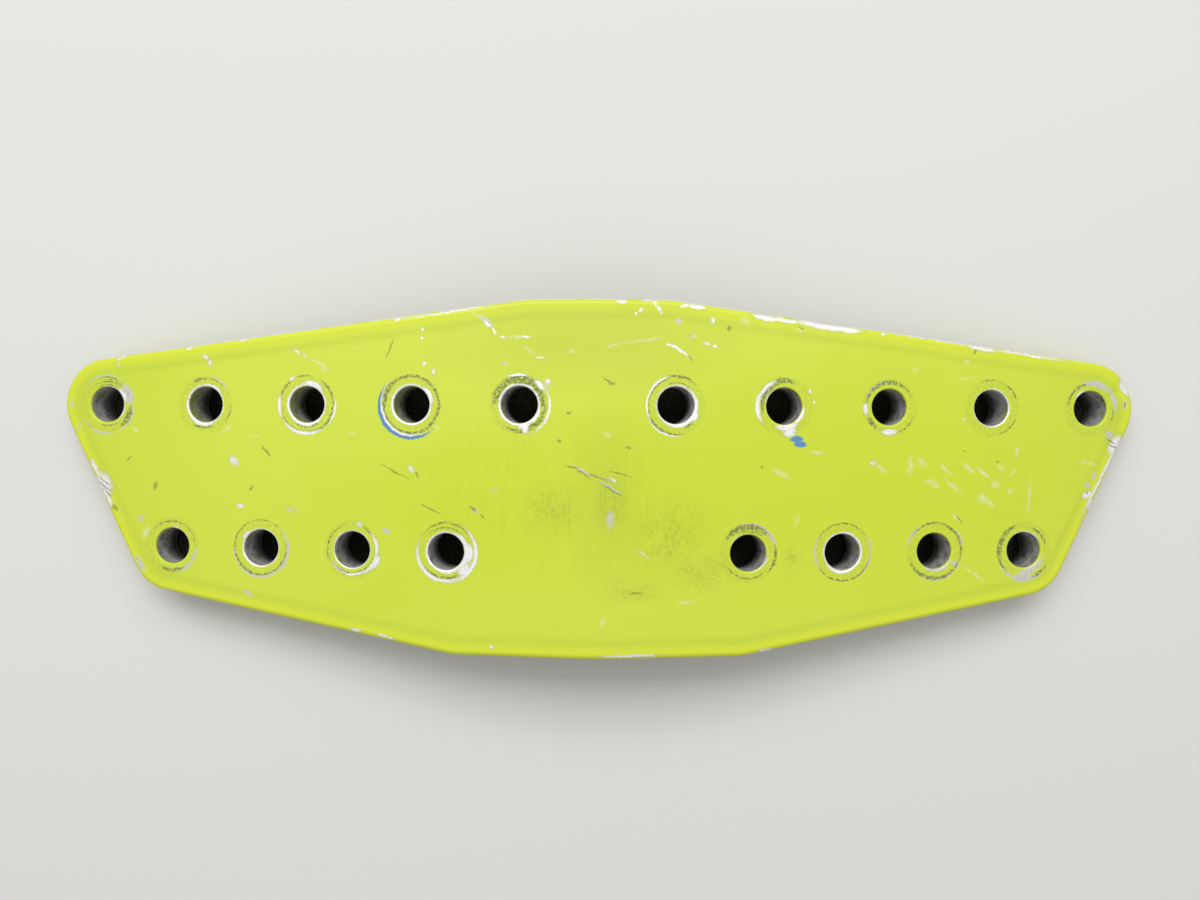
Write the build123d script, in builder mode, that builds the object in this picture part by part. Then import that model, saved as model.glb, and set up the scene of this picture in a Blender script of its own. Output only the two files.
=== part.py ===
from build123d import *

import os
from math import cos, radians, sin, tan

os.makedirs("parts", exist_ok=True)

# A spar attachment plate: one thick aluminium plate that ties the spars of a
# left and a right wing together. It is cut to a long outline that is widest in
# the middle, drilled with an upper and a lower row of bolt holes, and bent
# across its middle so that each wing of the plate follows its own spar.
# The plate lies on its back: X runs along it, Y up the bolt rows, and its
# lowest edges touch Z = 0. The bend line is over X = 0, and Y = 0 is midway
# between the bolt rows.

# Driving dimensions, in the inch fractions that such plates are drawn in
thickness = 0.375 * IN
wing_drop = 7  # degrees that each wing leans back from the bend
bend_inside_radius = 2.5 * IN

hole_diameter = 0.375 * IN
row_spacing = 1.5 * IN
upper_row_start = 0.795 * IN
upper_row_pitch = 1.125 * IN
upper_row_count = 5
lower_row_start = 1.555 * IN
lower_row_pitch = 1.0 * IN
lower_row_count = 4

corner_radius = 0.5 * IN
row_to_flat = 1.0625 * IN
upper_flat_end = 0.75 * IN
lower_flat_end = 1.5 * IN
knee_radius = 0.5 * IN

edge_round = 0.0625 * IN
hole_edge_break = 0.02 * IN

# Sizes that follow from them
half_width = row_spacing / 2 + row_to_flat
bend_outside_radius = bend_inside_radius + thickness
bend_start = bend_outside_radius * tan(radians(wing_drop))
upper_row = [
    (upper_row_start + step * upper_row_pitch, row_spacing / 2)
    for step in range(upper_row_count)
]
lower_row = [
    (lower_row_start + step * lower_row_pitch, -row_spacing / 2)
    for step in range(lower_row_count)
]
upper_knee = (upper_flat_end, half_width)
lower_knee = (lower_flat_end, -half_width)

# Height of the bend's sharp corner, if it had no radius, that lets the rounded
# back edge of the wing tips just touch Z = 0
wing_reach = max(upper_row[-1][0], lower_row[-1][0]) + corner_radius
corner_height = (
    (wing_reach - edge_round) * sin(radians(wing_drop))
    + (thickness - edge_round) * cos(radians(wing_drop))
    + edge_round
)
bend_axis_height = corner_height - bend_outside_radius / cos(radians(wing_drop))

# The front face of the right wing. Distances along it are counted from the
# sharp corner of the bend, and so are the bolt rows.
wing_face = Plane(origin=(0, 0, corner_height)).rotated((0, wing_drop, 0))
bend_axis = Axis((0, 0, bend_axis_height), (0, 1, 0))

with BuildPart() as attachment_plate:
    # Right wing: corner rounds about the two end bolts, and edges that leave
    # them on a tangent, like a band stretched round the bolts and the flats
    with BuildSketch(wing_face) as wing_outline:
        with BuildLine():
            upper_corner = CenterArc(upper_row[-1], corner_radius, 0, 360, mode=Mode.PRIVATE)
            lower_corner = CenterArc(lower_row[-1], corner_radius, 0, 360, mode=Mode.PRIVATE)
            upper_slope = ConstrainedLines(
                upper_corner, upper_knee, selector=lambda lines: lines.sort_by(Axis.Y)[-1]
            )
            end_edge = ConstrainedLines(
                upper_corner, lower_corner, selector=lambda lines: lines.sort_by(Axis.X)[-1]
            )
            lower_slope = ConstrainedLines(
                lower_corner, lower_knee, selector=lambda lines: lines.sort_by(Axis.Y)[0]
            )
            RadiusArc(upper_slope @ 0, end_edge @ 0, corner_radius)
            RadiusArc(end_edge @ 1, lower_slope @ 0, corner_radius)
            Polyline(upper_knee, (bend_start, half_width), (bend_start, -half_width), lower_knee)
        make_face()
        knee_corners = [
            wing_outline.sketch_local.vertices().sort_by_distance(knee)[0]
            for knee in (upper_knee, lower_knee)
        ]
        fillet(knee_corners, radius=knee_radius)
    extrude(amount=-thickness)

    # Bolt holes, square to the wing, with their sharp mouths broken
    with BuildSketch(wing_face):
        with Locations(upper_row, lower_row):
            Circle(hole_diameter / 2)
    extrude(amount=-thickness, mode=Mode.SUBTRACT)
    hole_mouths = attachment_plate.edges().filter_by(GeomType.CIRCLE)
    chamfer(hole_mouths.group_by(SortBy.RADIUS)[0], length=hole_edge_break)

    # Half of the bend: the plate's section swung round the bend axis
    with BuildSketch(Plane.YZ):
        with Locations((0, bend_axis_height + bend_inside_radius + thickness / 2)):
            Rectangle(2 * half_width, thickness)
    revolve(axis=bend_axis, revolution_arc=wing_drop)

    # Rounded rim: every outer edge of the front and back, but not the lines
    # where the bend runs into the wing
    broad_faces = attachment_plate.faces().filter_by(
        lambda face: abs(face.normal_at().Z) > cos(radians(2 * wing_drop))
    )
    rim = ShapeList(edge for face in broad_faces for edge in face.outer_wire().edges())
    fillet(rim.filter_by(Axis.Y, reverse=True), radius=edge_round)

    # The left wing mirrors the right one
    mirror(about=Plane.YZ)

attachment_plate.part.label = "attachment_plate"
export_step(attachment_plate.part, "parts/attachment_plate.step")
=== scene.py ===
# %% [markdown]
# # A worn spar attachment plate
# This thick aluminium plate bolted the spars of a left and a right wing
# together. It is bent a few degrees across its middle, drilled with two rows of
# bolt holes and painted with a yellow-green primer that washers, bolts and
# knocks have worn through. The imported CAD model is loaded first. It fixes where
# everything is.

# %% Load the fixed frame
from math import asin, atan2, cos, degrees, hypot, radians, sin, tan

import bmesh
import bpy
from mathutils import Euler, Matrix, Vector, noise


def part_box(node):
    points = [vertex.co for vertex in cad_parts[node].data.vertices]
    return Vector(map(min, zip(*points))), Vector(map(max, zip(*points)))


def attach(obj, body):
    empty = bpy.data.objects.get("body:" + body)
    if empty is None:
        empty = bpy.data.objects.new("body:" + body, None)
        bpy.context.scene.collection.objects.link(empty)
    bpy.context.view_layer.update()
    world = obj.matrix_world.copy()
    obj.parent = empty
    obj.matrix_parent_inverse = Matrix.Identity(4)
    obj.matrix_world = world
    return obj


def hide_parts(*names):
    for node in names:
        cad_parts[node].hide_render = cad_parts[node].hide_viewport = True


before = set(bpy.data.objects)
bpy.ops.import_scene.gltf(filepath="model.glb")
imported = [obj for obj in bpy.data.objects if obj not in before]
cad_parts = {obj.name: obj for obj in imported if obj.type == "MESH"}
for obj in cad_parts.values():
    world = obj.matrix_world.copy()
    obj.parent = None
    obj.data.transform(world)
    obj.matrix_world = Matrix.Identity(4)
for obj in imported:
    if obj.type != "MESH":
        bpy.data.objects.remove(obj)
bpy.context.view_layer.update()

# %% [markdown]
# ## Sizes of the plate
# Aircraft drawings of this kind are in inches, so the sizes are inch fractions
# turned into metres once. Everything else is worked out from them: the slopes of
# the long edges, for example, are tangents to a round of half an inch about each
# end bolt. The height comes from the CAD box, because the plate lies on the back
# edges of its two tips.

# %% Name the sizes
INCH = 0.0254
MM = 0.001
THICKNESS = 0.375 * INCH
WING_DROP = radians(7)
BEND_RADIUS = 2.5 * INCH + THICKNESS
HALF_WIDTH = 1.8125 * INCH
END_ROUND = 0.5 * INCH
KNEE_ROUND = 0.5 * INCH
RIM_ROUND = 0.0625 * INCH
HOLE_RADIUS = 0.1875 * INCH
MOUTH_BREAK = 0.02 * INCH
ROW_UP = 0.75 * INCH
UPPER_START, UPPER_PITCH, UPPER_COUNT = 0.795 * INCH, 1.125 * INCH, 5
LOWER_START, LOWER_PITCH, LOWER_COUNT = 1.555 * INCH, 1.0 * INCH, 4
UPPER_KNEE = Vector((0.75 * INCH, HALF_WIDTH, 0))
LOWER_KNEE = Vector((1.5 * INCH, -HALF_WIDTH, 0))

bend_start = BEND_RADIUS * tan(WING_DROP)
bend_axis_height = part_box("attachment_plate")[1].z - BEND_RADIUS
corner_height = bend_axis_height + BEND_RADIUS / cos(WING_DROP)
upper_row = [Vector((UPPER_START + n * UPPER_PITCH, ROW_UP, 0)) for n in range(UPPER_COUNT)]
lower_row = [Vector((LOWER_START + n * LOWER_PITCH, -ROW_UP, 0)) for n in range(LOWER_COUNT)]
print(f"bend line {corner_height / MM:.2f} mm up, bend starts {bend_start / MM:.2f} mm from it")

# %% [markdown]
# ## The camera first
# The photograph was taken from straight in front of the plate, a little above
# its middle. The plate leaned against something there, but it can't stand by
# itself, so here it lies on its back and the same view is a look down. The tiny
# turns are the photographer's hand.

# %% Place the camera
SENSOR_WIDTH, LENS = 36, 25.8  # mm
CAMERA_PLACE = (1.46 * MM, 12.16 * MM, 244.36 * MM)
HAND_TURN = (radians(-1.203), radians(0.207), radians(0.275))

camera_data = bpy.data.cameras.new("camera")
camera_data.sensor_width = SENSOR_WIDTH
camera_data.lens = LENS
camera = bpy.data.objects.new("camera", camera_data)
bpy.context.scene.collection.objects.link(camera)
hand_turn = Euler(HAND_TURN, "ZYX").to_matrix().to_4x4()
camera.matrix_world = Matrix.Translation(CAMERA_PLACE) @ hand_turn
bpy.context.scene.camera = camera
print(f"camera {CAMERA_PLACE[2] / MM:.0f} mm above the floor")

# %% [markdown]
# ## Half of the outline
# A plate like this is marked out as a band stretched round its end bolts. A
# curve object could draw that, but spinning a single vertex about a bolt is the
# shortest way to an exact arc: each copy of the vertex is joined to the one
# before. Two arcs make the end, two more soften the knees, and straight edges
# join them. The wing is made flat, a little longer than needed towards the
# middle, and cut to length and bent later.

# %% Spin the arcs of one wing's outline
def angle_of(direction):
    """Direction of a vector in the XY plane, in radians."""
    return atan2(direction.y, direction.x)


upper_end, lower_end = upper_row[-1], lower_row[-1]
to_upper_end, to_lower_end = upper_end - UPPER_KNEE, lower_end - LOWER_KNEE
upper_slope = -(angle_of(to_upper_end) + asin(END_ROUND / to_upper_end.length))
lower_slope = angle_of(to_lower_end) - asin(END_ROUND / to_lower_end.length)
end_lean = angle_of(upper_end - lower_end) - radians(90)
quarter = radians(90)

upper_slide, lower_slide = (KNEE_ROUND * tan(slope / 2) for slope in (upper_slope, lower_slope))
upper_knee_centre = UPPER_KNEE - Vector((upper_slide, KNEE_ROUND, 0))
lower_knee_centre = LOWER_KNEE - Vector((lower_slide, -KNEE_ROUND, 0))

wing = bmesh.new()
KNEE_STEPS, END_STEPS = 3, 24
arcs = [
    # centre, radius, first angle, turn clockwise, steps
    (upper_knee_centre, KNEE_ROUND, quarter, upper_slope, KNEE_STEPS),
    (upper_end, END_ROUND, quarter - upper_slope, quarter - upper_slope - end_lean, END_STEPS),
    (lower_end, END_ROUND, end_lean, quarter - lower_slope + end_lean, END_STEPS),
    (lower_knee_centre, KNEE_ROUND, lower_slope - quarter, lower_slope, KNEE_STEPS),
]
print("arcs turn", [round(degrees(arc[3]), 1) for arc in arcs], "degrees")

corner_pairs = []
for centre, radius, first_angle, turn, steps in arcs:
    first = wing.verts.new(centre + radius * Vector((cos(first_angle), sin(first_angle), 0)))
    spun = bmesh.ops.spin(
        wing, geom=[first], cent=centre, axis=(0, 0, -1), dvec=(0, 0, 0), angle=turn, steps=steps,
    )
    corner_pairs.append((first, spun["geom_last"][0]))
print(len(wing.verts), "points on four arcs")

# %% [markdown]
# ## From outline to slab
# The arcs are joined by straight edges, which get points every two millimetres
# so that the rim can carry dents later. One face fills the outline, an extrusion
# gives it the thickness of the plate, and a bevel with a profile of 0.5 rounds
# the rim exactly as a circle would.

# %% Close the outline, fill it and give it its thickness
RIM_STEP = 2 * MM
SPARE_LENGTH = 12 * MM
spare_end = bend_start - SPARE_LENGTH
middle_ends = [wing.verts.new((spare_end, side * HALF_WIDTH, 0)) for side in (1, -1)]
stops = [middle_ends[0]] + [v for pair in corner_pairs for v in pair] + [middle_ends[1]]
straight_edges = [wing.edges.new((stops[n], stops[n + 1])) for n in range(0, len(stops), 2)]
wing.edges.new(middle_ends)
for edge in straight_edges:
    bmesh.ops.subdivide_edges(wing, edges=[edge], cuts=int(edge.calc_length() / RIM_STEP))
front_face = bmesh.ops.contextual_create(wing, geom=wing.edges[:])["faces"][0]
lifted = bmesh.ops.extrude_face_region(wing, geom=[front_face])["geom"]
back_points = [item for item in lifted if isinstance(item, bmesh.types.BMVert)]
bmesh.ops.translate(wing, verts=back_points, vec=(0, 0, -THICKNESS))
print("slab:", len(wing.faces), "faces, closed:", all(edge.is_manifold for edge in wing.edges))

# %% Round the rim
RIM_SEGMENTS = 6
SAME_PLACE = 1e-7  # m, closer than this counts as touching


def all_at(edge, axis, value):
    """Whether both ends of `edge` are at `value` on an axis, 0 for X to 2 for Z."""
    return all(abs(vertex.co[axis] - value) < SAME_PLACE for vertex in edge.verts)


level_edges = [edge for edge in wing.edges if all_at(edge, 2, edge.verts[0].co.z)]
bmesh.ops.bevel(
    wing, geom=level_edges, offset=RIM_ROUND, offset_type="OFFSET", segments=RIM_SEGMENTS,
    profile=0.5, affect="EDGES", clamp_overlap=False, material=-1,
)
print("rounded rim:", len(wing.faces), "faces")

# %% [markdown]
# ## The rim band and the cut to length
# Paint pools on a rounded rim and runs a little way in, so the rim needs its own
# band of faces. Insetting both broad faces makes it, and a number on each vertex,
# the distance from the rim, will tell the paint where it is. A bisecting plane
# then cuts the wing where the bend begins.

# %% Inset the rim band and cut the wing to length
RIM_BAND = 4.5 * MM
rim_distance = wing.verts.layers.float.new("rim_distance")
broad_faces = sorted(wing.faces, key=lambda face: face.calc_area())[-2:]
bmesh.ops.inset_region(wing, faces=broad_faces, thickness=RIM_BAND, use_even_offset=True)
for face in broad_faces:
    for vertex in face.verts:
        vertex[rim_distance] = RIM_BAND
bmesh.ops.bisect_plane(
    wing, geom=wing.verts[:] + wing.edges[:] + wing.faces[:], dist=SAME_PLACE,
    plane_co=(bend_start, 0, 0), plane_no=(1, 0, 0), clear_inner=True,
)
broad_faces = sorted(wing.faces, key=lambda face: face.calc_area())[-2:]
bmesh.ops.delete(wing, geom=broad_faces, context="FACES_ONLY")
print("cut wing:", len(wing.faces), "faces without its two broad faces")

# %% [markdown]
# ## The bolt holes
# Each hole was drilled and reamed square to the wing, and its sharp mouths were
# broken with a deburring tool. A boolean cylinder would do, but it leaves thin
# slivers. Here the section of the hole's wall is drawn once and spun about the
# hole's own axis, and the broad faces are then filled in around all the mouths
# in one go.

# %% Spin the hole walls and fill the broad faces round them
HOLE_STEPS = 64
WALL_METAL = 1  # the number of the second material, after the primer
break_middle = MOUTH_BREAK * (1 - cos(radians(45)))
wall_section = [
    # distance out from the wall, depth under the front face
    (MOUTH_BREAK, 0), (break_middle, break_middle), (0, MOUTH_BREAK), (0, THICKNESS / 2),
    (0, THICKNESS - MOUTH_BREAK), (break_middle, THICKNESS - break_middle),
    (MOUTH_BREAK, THICKNESS),
]
for hole in upper_row + lower_row:
    places = [hole + Vector((HOLE_RADIUS + out, 0, -down)) for out, down in wall_section]
    section = [wing.verts.new(place) for place in places]
    for vertex in section:
        vertex[rim_distance] = RIM_BAND
    lines = [wing.edges.new(pair) for pair in zip(section, section[1:])]
    bmesh.ops.spin(
        wing, geom=section + lines, cent=hole, axis=(0, 0, 1), dvec=(0, 0, 0),
        angle=radians(360), steps=HOLE_STEPS, use_merge=True,
    )

for face in wing.faces:
    middle = face.calc_center_median()
    to_axis = min(hypot(middle.x - hole.x, middle.y - hole.y) for hole in upper_row + lower_row)
    if to_axis < HOLE_RADIUS:
        face.material_index = WALL_METAL

for level, outwards in ((0, 1), (-THICKNESS, -1)):
    open_edges = [
        edge for edge in wing.edges
        if len(edge.link_faces) < 2
        and all_at(edge, 2, level)
        and (edge.is_wire or not all_at(edge, 0, bend_start))
    ]
    filled = bmesh.ops.triangle_fill(
        wing, edges=open_edges, use_beauty=True, normal=(0, 0, outwards),
    )
    triangles = [item for item in filled["geom"] if isinstance(item, bmesh.types.BMFace)]
    print("filled", len(triangles), "triangles at", level)

# %% [markdown]
# ## The bend and the other wing
# On the real plate a press bent the drilled bar over a round nose. The wing is
# turned down by its seven degrees, and the cut end is spun about the axis of
# the bend up to the middle. A mirror makes the left wing and joins it on.

# %% Bend and mirror
BEND_STEPS = 8
seam = [edge for edge in wing.edges if all_at(edge, 0, bend_start)]
seam_points = list({vertex for edge in seam for vertex in edge.verts})
bmesh.ops.transform(
    wing, verts=wing.verts[:],
    matrix=Matrix.Translation((0, 0, corner_height)) @ Matrix.Rotation(WING_DROP, 4, "Y"),
)
bmesh.ops.spin(
    wing, geom=seam_points + seam, cent=(0, 0, bend_axis_height), axis=(0, -1, 0),
    dvec=(0, 0, 0), angle=WING_DROP, steps=BEND_STEPS,
)
bmesh.ops.mirror(
    wing, geom=wing.verts[:] + wing.edges[:] + wing.faces[:], matrix=Matrix.Identity(4),
    merge_dist=0.01 * MM, axis="X",
)
bmesh.ops.remove_doubles(wing, verts=wing.verts[:], dist=0.001 * MM)
bmesh.ops.recalc_face_normals(wing, faces=wing.faces[:])
for face in wing.faces:
    face.smooth = True
print(
    f"plate: {len(wing.faces)} faces, {wing.calc_volume() / MM ** 3:.0f} cubic mm,",
    f"closed: {all(edge.is_manifold for edge in wing.edges)}",
)

# %% [markdown]
# ## A place on the plate for the paint
# The wear has to follow the surface round the bend and down the hole walls, so
# each vertex keeps where it was when the plate was flat: millimetres along from
# the bend line, up from between the rows, and down from the painted front. The
# material reads it as an attribute, like a UV map with a depth.

# %% Keep each vertex's place on the flat plate
flat_place = wing.verts.layers.float_vector.new("flat_place")
for vertex in wing.verts:
    x, y, z = vertex.co
    side = 1 if x > 0 else -1
    turned = atan2(abs(x), z - bend_axis_height)
    if turned < WING_DROP:
        along = bend_start * turned / WING_DROP
        depth = BEND_RADIUS - hypot(x, z - bend_axis_height)
    else:
        along = abs(x) * cos(WING_DROP) - (z - corner_height) * sin(WING_DROP)
        depth = (corner_height - z) * cos(WING_DROP) - abs(x) * sin(WING_DROP)
    vertex[flat_place] = Vector((side * along, y, depth)) / MM
    vertex[rim_distance] /= MM
print("vertices that know their place:", len(wing.verts))

# %% [markdown]
# ## How the materials are written
# Colours are picked as sRGB hex values, as a colour picker gives them, and one
# function turns them into the linear values that the shader works in. Another
# adds a node, applies its settings and connects its inputs, so that a material
# reads as a list of steps. A Mix node has sockets for every kind of data, and
# those for colours are its inputs 6 and 7 and its output 2.

# %% Helpers for materials
SMOOTH = {"interpolation_type": "SMOOTHSTEP"}
COLOURS = {"data_type": "RGBA", "output": 2}


def linear(hex_colour):
    """Linear RGBA of an sRGB hex colour."""
    shares = [int(hex_colour[n:n + 2], 16) / 255 for n in (1, 3, 5)]
    return [
        share / 12.92 if share <= 0.04045 else ((share + 0.055) / 1.055) ** 2.4
        for share in shares
    ] + [1]


def add(kind, *values, at=None, output=0, **settings):
    """Add a node to `tree`, fill its inputs in order or by name with `at`; give one output."""
    node = tree.nodes.new("ShaderNode" + kind)
    for name, value in settings.items():
        setattr(node, name, value)
    for key, value in [*enumerate(values), *(at or {}).items()]:
        if isinstance(value, bpy.types.NodeSocket):
            tree.links.new(value, node.inputs[key])
        else:
            node.inputs[key].default_value = value
    return node.outputs[output]


def new_material(name):
    """A new material, its node tree and its Principled shader."""
    material = bpy.data.materials.new(name)
    material.use_nodes = True
    return material, material.node_tree, material.node_tree.nodes["Principled BSDF"]


# %% [markdown]
# ## Where the paint is worn
# The marks were read off the photograph one by one. Each is an ellipse on the
# flat plate: a scratch is a long thin one, a knock a short fat one. White marks
# are fresh bare metal, grey ones old bare metal with a trace of paint left in
# its pores, and dark ones are dirt held in a score.

# %% Marks on the front, in millimetres along, up, length, width and degrees of turn
fresh_marks = [
    # the left wing
    (-105.75, 31.75, 1.7, 1.1, -40), (-104.5, 30.25, 1.7, 1.4, 60), (-97.75, 4, 3.3, 1.9, -42),
    (-96, -8, 2.3, 1, 0), (-81.75, -8.75, 2.5, 1.1, -20), (-80, 33, 3.6, 0.8, -28),
    (-78, 32, 2.2, 0.7, -40), (-131.25, 29.5, 1.2, 1.2, 0), (-45.25, 29.5, 1.3, 1.1, 45),
    (-42.75, 27.5, 1.6, 1.3, 60), (-45.75, 38.5, 1.1, 0.8, 90), (-45.75, 36.25, 0.8, 0.8, 0),
    (-48.75, 2.25, 2.2, 1.3, -50), (-31.5, -8.25, 1.6, 1.1, -30), (-14.5, 31, 2.6, 0.6, 0),
    (-12.75, 25, 1.5, 1.3, 0), (-27.25, -43.5, 1.3, 0.8, 0), (-63, -12.25, 1.9, 1.4, -20),
    (-135, -2.2, 5.2, 3, -66),
    # the torn scratch that runs in from the upper edge and on to the right
    (-28.4, 39.75, 2.2, 0.7, -48), (-26.8, 38, 2.6, 0.8, -60), (-24.5, 36.25, 1.4, 0.8, 0),
    (-18.5, 36.25, 2, 0.5, 0),
    # knocks right of the bend, along the upper edge
    (14.5, 45, 2.3, 0.9, -60), (15.75, 43.25, 3.1, 0.9, -60), (11, 43, 1.3, 0.8, 30),
    (9.75, 42, 0.8, 0.8, 0), (29.5, 40.75, 2.1, 1.3, 85), (24.25, 36.75, 1.3, 1.3, 0),
    (28.25, 34.75, 2.4, 0.8, -15), (30.25, 34.25, 1.6, 0.8, 20), (22.25, 44.5, 3.1, 0.8, 25),
    # the curved scratch above the first bolt of the right wing
    (18.75, 34.25, 3.1, 0.6, -22), (21, 33.25, 4.7, 0.8, -35), (22.75, 32, 2.6, 0.6, -42),
    # bright flanks of the scores across the bend
    (4, 0.2, 2.6, 0.6, -35), (1.75, 0.25, 4.6, 0.4, -20),
    # the rest of the right wing
    (73, 4.25, 1.9, 1.4, 0), (98.25, 16, 0.7, 0.7, 0),
]
old_marks = [
    (-124.75, -12, 1.5, 1.5, 0), (-94, -31.25, 2.6, 0.9, -35), (3.25, -10.25, 4.1, 1.8, 88),
    (20.75, 40.5, 1.6, 1.3, -50), (-23.75, 29.5, 1.6, 0.8, -20), (-28.75, 40.25, 3.4, 1.5, -45),
    (-3.75, 2.25, 5.1, 0.5, -30), (3.5, -2, 5.6, 0.5, -28), (-26.5, -2.75, 1.6, 1.3, 30),
    (-55.5, -14, 2.2, 1.1, -30), (135.75, 0.75, 1.2, 2.3, 0), (133.75, -1.5, 1.5, 1.5, 0),
    (140, 12, 2.1, 1.9, 30), (144.5, 20.25, 2.4, 1.5, 80),
    # dull rubs on the rims of the ends
    (-125, -24.25, 4.7, 1.5, -60), (-115.75, -31.75, 5.2, 1.2, -12), (-145, 19, 0.7, 2, 0),
    (-142.75, 13, 0.7, 2.4, -20), (132.5, -12.5, 4.1, 1.2, 62),
]
faint_scuffs = [
    (-100, 12.25, 3.7, 1.1, 35), (-6.5, 32.5, 1.9, 1, 10), (-31, 41.75, 4.7, 0.9, -35),
    (-20.25, 36.25, 6.4, 0.8, 0), (-91.75, 10.5, 2.3, 0.7, 10), (-126.25, 12.25, 2.6, 0.7, -45),
    (-72.5, 28.25, 1.4, 1.1, 0), (-73.5, 29.75, 6, 0.7, -32), (2.5, 11.5, 2, 1.5, -40),
    (12, -19, 4.1, 0.8, -35), (23.25, -31.5, 3.9, 0.7, 3), (1.5, -36.25, 2.3, 0.9, 88),
    (38, 40.75, 2.4, 2.1, 0), (52.75, 38.75, 2.7, 0.9, -10), (-41.75, 13, 1.1, 1.1, 0),
    (-64.75, 11.5, 2.7, 0.7, 0), (-123.25, -15.5, 2.9, 1.8, 60), (-17.5, 32.75, 4.7, 0.6, -35),
    # the right wing, with a shower of light knocks in its middle
    (83.25, 3.75, 5.6, 1.4, 87), (90, -1.25, 2.5, 2, -30), (88.25, -0.5, 1.7, 1.1, 0),
    (93, 2.75, 5.1, 0.9, -45), (103.75, 1.75, 4.8, 1, -35), (111.5, -3.25, 1.7, 1.4, 80),
    (112, 1.5, 2.3, 0.8, 60), (113.25, 7.25, 3.4, 0.8, 85), (117, -4.5, 8.9, 0.7, 88),
    (52.5, -10.5, 3.2, 0.6, 80), (98, 26.75, 4.5, 0.8, 0), (96.25, -10.25, 2.8, 0.9, -45),
    (98.75, 31.25, 1.4, 1.1, 0), (84.25, 29, 1.4, 0.9, 30), (101.75, -25.5, 6.8, 0.7, -35),
    (134.25, 4.25, 5, 0.8, -8), (89, -36.5, 1.7, 0.9, 15), (57.75, 7, 4, 0.9, 3),
    (75.5, 2.75, 3.4, 1.2, -40), (103.75, -5.25, 3.4, 2.4, -40), (105.75, -6.5, 3, 1.2, -40),
    (107.25, -1.5, 2.6, 1.7, -30), (86.5, 4.5, 3, 1.6, -40), (99.5, 3, 4.4, 1.2, -38),
    (95.5, -2, 5.6, 1.1, -38), (108.5, 3.2, 3.6, 0.8, -38), (10.75, 35.25, 11, 0.7, 8),
    (4, 34.2, 4, 0.6, 16), (48.25, 1.5, 4.8, 1.3, -25),
]
dirty_scores = [
    (-88.75, 6.75, 3.9, 0.6, -45), (-93, -3.25, 1.4, 0.8, 60), (-120.5, -3, 2.3, 1.2, 70),
    (-128, 4.5, 1.8, 0.6, 30), (-54.5, 33.5, 5.4, 0.5, 68), (-53, 1.5, 8.7, 0.5, -28),
    (-47.25, 0.75, 1.9, 0.5, -60), (-43.5, -8, 6.4, 0.4, -24), (-32.25, -8, 2.4, 0.8, -30),
    (-29.75, -9.75, 1.8, 0.5, -40), (-7.25, 17, 1.3, 0.8, 0), (-9.75, 9.75, 1, 0.8, 0),
    (8, 8.25, 1.5, 0.6, -10), (3, 25, 3.8, 0.8, -32),
    # the scores across the bend
    (-6.5, 3.25, 3.6, 0.5, -12), (-3.5, 1.5, 4.6, 0.5, -35), (0.75, 0.5, 6.6, 0.5, -18),
    (3.75, -2.5, 6.1, 0.5, -30), (5.75, 1.5, 6.1, 0.4, -14),
    # the right wing
    (9.75, -29, 3.1, 0.6, 0), (43, 3.25, 0.9, 0.9, 0), (34, 38.75, 1.1, 1.3, 0),
    (23.75, 31.25, 2.6, 0.4, -45), (107.75, 4.75, 0.8, 0.6, 30), (98.5, 7.5, 0.8, 0.6, 0),
    (101, 34, 1.7, 0.7, 60), (97.25, -10.75, 2.5, 0.6, -45), (53.25, 39.25, 1.6, 0.5, -20),
    # tool marks in the bare knocks of the two ends
    (-135.75, -1.75, 4.2, 0.5, -40), (-135.5, -3.5, 4.2, 0.5, -32), (-134.75, -5, 3.6, 0.5, -40),
    (-132.25, -9, 2.1, 1.2, -60), (140.75, 10.25, 3.5, 0.5, -22), (141.5, 8.75, 3.5, 0.5, -24),
    (133.75, -3.75, 0.9, 0.9, 0), (144.5, 20.25, 1.5, 0.7, 80),
]
rim_knocks_and_highlights = [
    # left end, right end
    (-138.25, 2, 4.8, 1.3, -64), (-136, -3, 8, 3.4, -66), (-134, -7.25, 3.6, 1.3, -66),
    (144.3, 25, 5.2, 1.9, -62), (141.75, 9.25, 5.9, 3.2, 64), (137.75, 0.25, 21.2, 1, 62),
    (133.75, -4.25, 3.2, 1.8, 35), (135, -7, 2.9, 1.8, 60),
    # upper edge, from left to right; its long thin marks are partly wear and partly a painted
    # highlight along the top rim
    (-130, 32, 3.5, 1.2, 28), (-110.5, 34.25, 2.3, 1, 9), (-95, 36.25, 2.8, 1, 9),
    (-52.5, 41.25, 2.2, 0.9, 9), (-38.5, 43, 23.9, 0.5, 8), (6, 45.25, 3.1, 1, 0),
    (12.75, 45.75, 3.6, 1, 0), (25.5, 44.25, 4.2, 1.3, -8), (43.25, 42, 6.4, 1.9, -9),
    (48.75, 41.25, 7.5, 1.1, -8), (59.75, 40.5, 17.8, 3, -8.5), (65.75, 39.25, 6, 1.9, -8),
    (75.5, 38.25, 1.4, 1.1, 0), (88.5, 37.2, 24, 0.6, -8), (103, 35, 7.9, 1.7, -8),
    (116.5, 33.25, 20.1, 0.7, -8),
    # lower edge
    (-64, -40.25, 3.3, 1.1, -15), (-55.75, -41.75, 4.9, 0.8, -15), (8.75, -45, 15.5, 0.8, 0),
    (44.75, -44.5, 4.3, 1.1, 6),
]
all_marks = fresh_marks + old_marks + faint_scuffs + dirty_scores + rim_knocks_and_highlights
print(len(all_marks), "marks on the front and its rim")

# %% [markdown]
# ## Dents under the largest knocks
# Paint alone would leave the rim perfectly straight where something hit it hard.
# The vertices of the rounded rim inside the larger knocks are pushed in along
# their normals, deepest in the middle of the knock, and noise keeps the dent
# from being a smooth bowl.

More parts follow.
